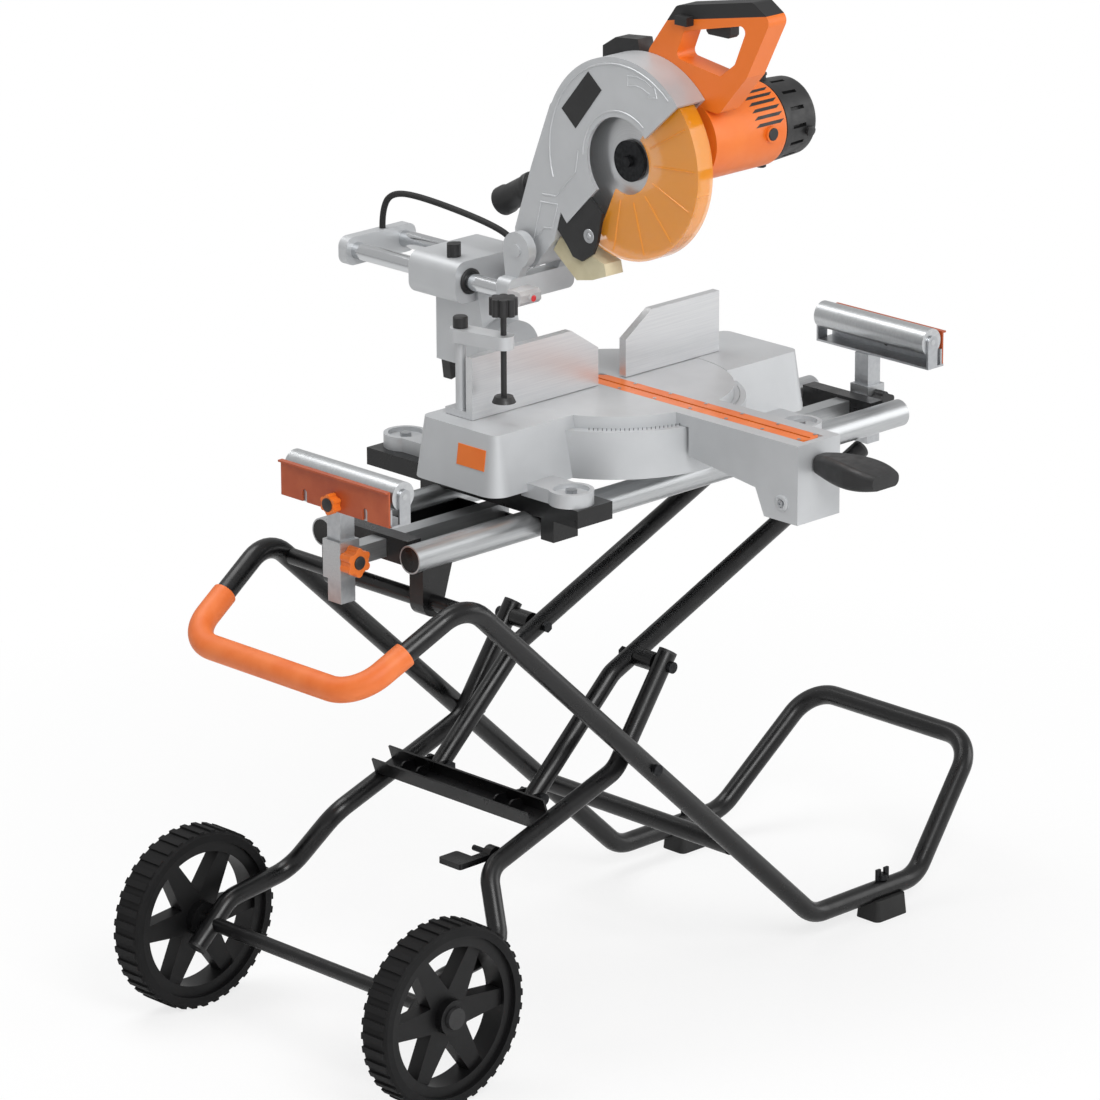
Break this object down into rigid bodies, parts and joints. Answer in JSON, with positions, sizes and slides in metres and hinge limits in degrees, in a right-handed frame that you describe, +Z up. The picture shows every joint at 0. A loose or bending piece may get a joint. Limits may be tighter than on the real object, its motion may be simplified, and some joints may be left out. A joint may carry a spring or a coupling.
{
  "type": "mitre saw on stand",
  "caption": "Sliding compound mitre saw with a tilting, chopping head on a wheeled scissor stand that folds, with a sliding roller support at each end.",
  "frame": {"origin": "on the floor under the blade's cut line, midway between the stand's two sides", "axes": "+X along the fence to the operator's right, -Y towards the operator, +Z up"},
  "size_m": [1.257, 0.968, 1.3633],
  "materials": {
    "black_tube": "gloss",
    "orange_paint": "gloss",
    "orange_plastic": "satin",
    "black_plastic": "satin",
    "black_rubber": "matte",
    "steel": "satin",
    "cast_aluminium": "satin",
    "machined_aluminium": "satin",
    "motor_case": "satin",
    "amber": "gloss",
    "khaki": "matte",
    "clear": "gloss",
    "orange_rubber": "matte"
  },
  "bodies": {
    "lift_frame": {"lift_frame": "black_tube", "base_loop": "black_tube", "handle_grip": "orange_rubber", "cross_tubes": "black_tube", "feet": "black_rubber", "frame_fasteners": "steel"},
    "leg_frame": {"lower_legs": "black_tube", "upper_legs": "black_tube", "leg_spacers": "black_tube", "leg_fasteners": "steel", "cross_channel": "black_tube", "end_caps": "black_plastic", "wheel_axle": "black_tube"},
    "table": {"table_rails": "machined_aluminium", "end_bars": "black_tube", "hinge_brackets": "black_tube", "tray": "black_tube", "saw_brackets": "black_tube", "saw_base": "cast_aluminium", "base_bolts": "steel", "fences": "machined_aluminium", "clamp_frame": "cast_aluminium"},
    "turntable": {"turntable": "cast_aluminium", "kerf_insert": "orange_plastic"},
    "carriage": {"slide_rods": "steel", "rear_cap": "cast_aluminium", "pivot_bracket": "cast_aluminium", "laser_unit": "clear", "head_lead": "black_rubber"},
    "head": {"head_casting": "cast_aluminium", "motor_housing": "motor_case", "motor_cap": "black_plastic", "main_handle": "motor_case", "dust_hose": "black_plastic", "dust_chute": "khaki"},
    "blade": {"blade": "steel", "arbor": "steel"},
    "wheel_front": {"wheel_front": "black_plastic"},
    "wheel_rear": {"wheel_rear": "black_plastic"},
    "foot_pedal": {"foot_pedal": "black_tube"},
    "support_arm_left": {"support_arm_left": "machined_aluminium"},
    "support_arm_right": {"support_arm_right": "machined_aluminium"},
    "height_knob_left": {"height_knob_left": "motor_case"},
    "height_knob_right": {"height_knob_right": "black_plastic"},
    "support_post_left": {"support_post_left": "machined_aluminium"},
    "support_post_right": {"support_post_right": "machined_aluminium"},
    "roller_left": {"roller_left": "machined_aluminium"},
    "roller_right": {"roller_right": "machined_aluminium"},
    "stop_plate_left": {"stop_plate_left": "orange_paint"},
    "stop_plate_right": {"stop_plate_right": "orange_paint"},
    "stop_knob_left": {"stop_knob_left": "motor_case"},
    "stop_knob_right": {"stop_knob_right": "black_plastic"},
    "mitre_handle": {"mitre_handle": "black_plastic"},
    "bevel_arm": {"bevel_arm": "cast_aluminium"},
    "bevel_lever": {"bevel_lever": "black_plastic"},
    "slide_lock_knob": {"slide_lock_knob": "black_plastic"},
    "lower_guard": {"lower_guard": "amber"},
    "trigger": {"trigger": "black_plastic"},
    "lock_off_button": {"lock_off_button": "black_plastic"},
    "clamp_screw": {"clamp_screw": "black_plastic"}
  },
  "joints": [
    {"name": "fold", "type": "hinge", "parent": "lift_frame", "child": "leg_frame", "pos_m": [-0.115, 0, 0.3388], "axis": [0, 1, 0], "range_deg": [0, 50]},
    {"name": "table_fold", "type": "hinge", "parent": "lift_frame", "child": "table", "pos_m": [-0.416, 0, 0.6191], "axis": [0, 1, 0], "range_deg": [0, 31]},
    {"name": "wheel_front_spin", "type": "hinge", "parent": "leg_frame", "child": "wheel_front", "pos_m": [-0.545, -0.243, 0.125], "axis": [0, 1, 0], "continuous": true},
    {"name": "wheel_rear_spin", "type": "hinge", "parent": "leg_frame", "child": "wheel_rear", "pos_m": [-0.545, 0.243, 0.125], "axis": [0, 1, 0], "continuous": true},
    {"name": "pedal", "type": "hinge", "parent": "leg_frame", "child": "foot_pedal", "pos_m": [-0.345, -0.1357, 0.26], "axis": [0, -1, 0], "range_deg": [0, 12], "stiffness_Nm_per_rad": 2, "springref_deg": -28.65},
    {"name": "arm_left", "type": "slide", "parent": "table", "child": "support_arm_left", "axis": [1, 0, 0], "range_m": [-0.15, 0]},
    {"name": "height_lock_left", "type": "hinge", "parent": "support_arm_left", "child": "height_knob_left", "pos_m": [-0.5, -0.04, 0.681], "axis": [0, 1, 0], "range_deg": [0, 180]},
    {"name": "post_left", "type": "slide", "parent": "support_arm_left", "child": "support_post_left", "axis": [0, 0, 1], "range_m": [0, 0.05]},
    {"name": "roller_left_spin", "type": "hinge", "parent": "support_post_left", "child": "roller_left", "pos_m": [-0.5, 0, 0.79], "axis": [0, 1, 0], "continuous": true},
    {"name": "stop_left", "type": "slide", "parent": "support_post_left", "child": "stop_plate_left", "axis": [0, 0, 1], "range_m": [0, 0.02]},
    {"name": "stop_lock_left", "type": "hinge", "parent": "support_post_left", "child": "stop_knob_left", "pos_m": [-0.55, -0.0285, 0.764], "axis": [1, 0, 0], "range_deg": [0, 180]},
    {"name": "arm_right", "type": "slide", "parent": "table", "child": "support_arm_right", "axis": [-1, 0, 0], "range_m": [-0.15, 0]},
    {"name": "height_lock_right", "type": "hinge", "parent": "support_arm_right", "child": "height_knob_right", "pos_m": [0.5, -0.04, 0.681], "axis": [0, 1, 0], "range_deg": [0, 180]},
    {"name": "post_right", "type": "slide", "parent": "support_arm_right", "child": "support_post_right", "axis": [0, 0, 1], "range_m": [0, 0.05]},
    {"name": "roller_right_spin", "type": "hinge", "parent": "support_post_right", "child": "roller_right", "pos_m": [0.5, 0, 0.79], "axis": [0, 1, 0], "continuous": true},
    {"name": "stop_right", "type": "slide", "parent": "support_post_right", "child": "stop_plate_right", "axis": [0, 0, 1], "range_m": [0, 0.02]},
    {"name": "stop_lock_right", "type": "hinge", "parent": "support_post_right", "child": "stop_knob_right", "pos_m": [0.55, -0.0285, 0.764], "axis": [1, 0, 0], "range_deg": [0, 180]},
    {"name": "mitre", "type": "hinge", "parent": "table", "child": "turntable", "pos_m": [0, -0.01, 0.78], "axis": [0, 0, 1], "range_deg": [-45, 45]},
    {"name": "mitre_lock", "type": "hinge", "parent": "turntable", "child": "mitre_handle", "pos_m": [0, -0.42, 0.782], "axis": [0, 1, 0], "range_deg": [0, 60]},
    {"name": "bevel", "type": "hinge", "parent": "turntable", "child": "bevel_arm", "pos_m": [0, 0.22, 0.812], "axis": [0, 1, 0], "range_deg": [-45, 0]},
    {"name": "bevel_lock", "type": "hinge", "parent": "bevel_arm", "child": "bevel_lever", "pos_m": [0, 0.308, 0.812], "axis": [0, 1, 0], "range_deg": [-40, 0]},
    {"name": "slide", "type": "slide", "parent": "bevel_arm", "child": "carriage", "axis": [0, -1, 0], "range_m": [0, 0.11]},
    {"name": "slide_lock", "type": "hinge", "parent": "bevel_arm", "child": "slide_lock_knob", "pos_m": [-0.045, 0.252, 0.955], "axis": [0, 0, 1], "range_deg": [0, 90]},
    {"name": "chop", "type": "hinge", "parent": "carriage", "child": "head", "pos_m": [0, 0.131, 0.976], "axis": [1, 0, 0], "range_deg": [0, 53], "stiffness_Nm_per_rad": 15, "springref_deg": -171.89},
    {"name": "blade_spin", "type": "hinge", "parent": "head", "child": "blade", "pos_m": [0, -0.046, 1.125], "axis": [1, 0, 0], "continuous": true},
    {"name": "guard_swing", "type": "hinge", "parent": "head", "child": "lower_guard", "pos_m": [0, -0.046, 1.125], "axis": [1, 0, 0], "range_deg": [-150, 0]},
    {"name": "trigger", "type": "slide", "parent": "head", "child": "trigger", "axis": [0, 0, 1], "range_m": [0, 0.006], "stiffness_N_per_m": 800, "springref_m": -0.003},
    {"name": "lock_off", "type": "slide", "parent": "head", "child": "lock_off_button", "axis": [1, 0, 0], "range_m": [0, 0.004], "stiffness_N_per_m": 800, "springref_m": -0.002},
    {"name": "clamp_screw", "type": "slide", "parent": "table", "child": "clamp_screw", "axis": [0, 0, 1], "range_m": [-0.026, 0]}
  ],
  "couplings": [
    {"joint": "table_fold", "follows": "fold", "ratio": 0.6076},
    {"joint": "guard_swing", "follows": "chop", "ratio": -2.83}
  ]
}
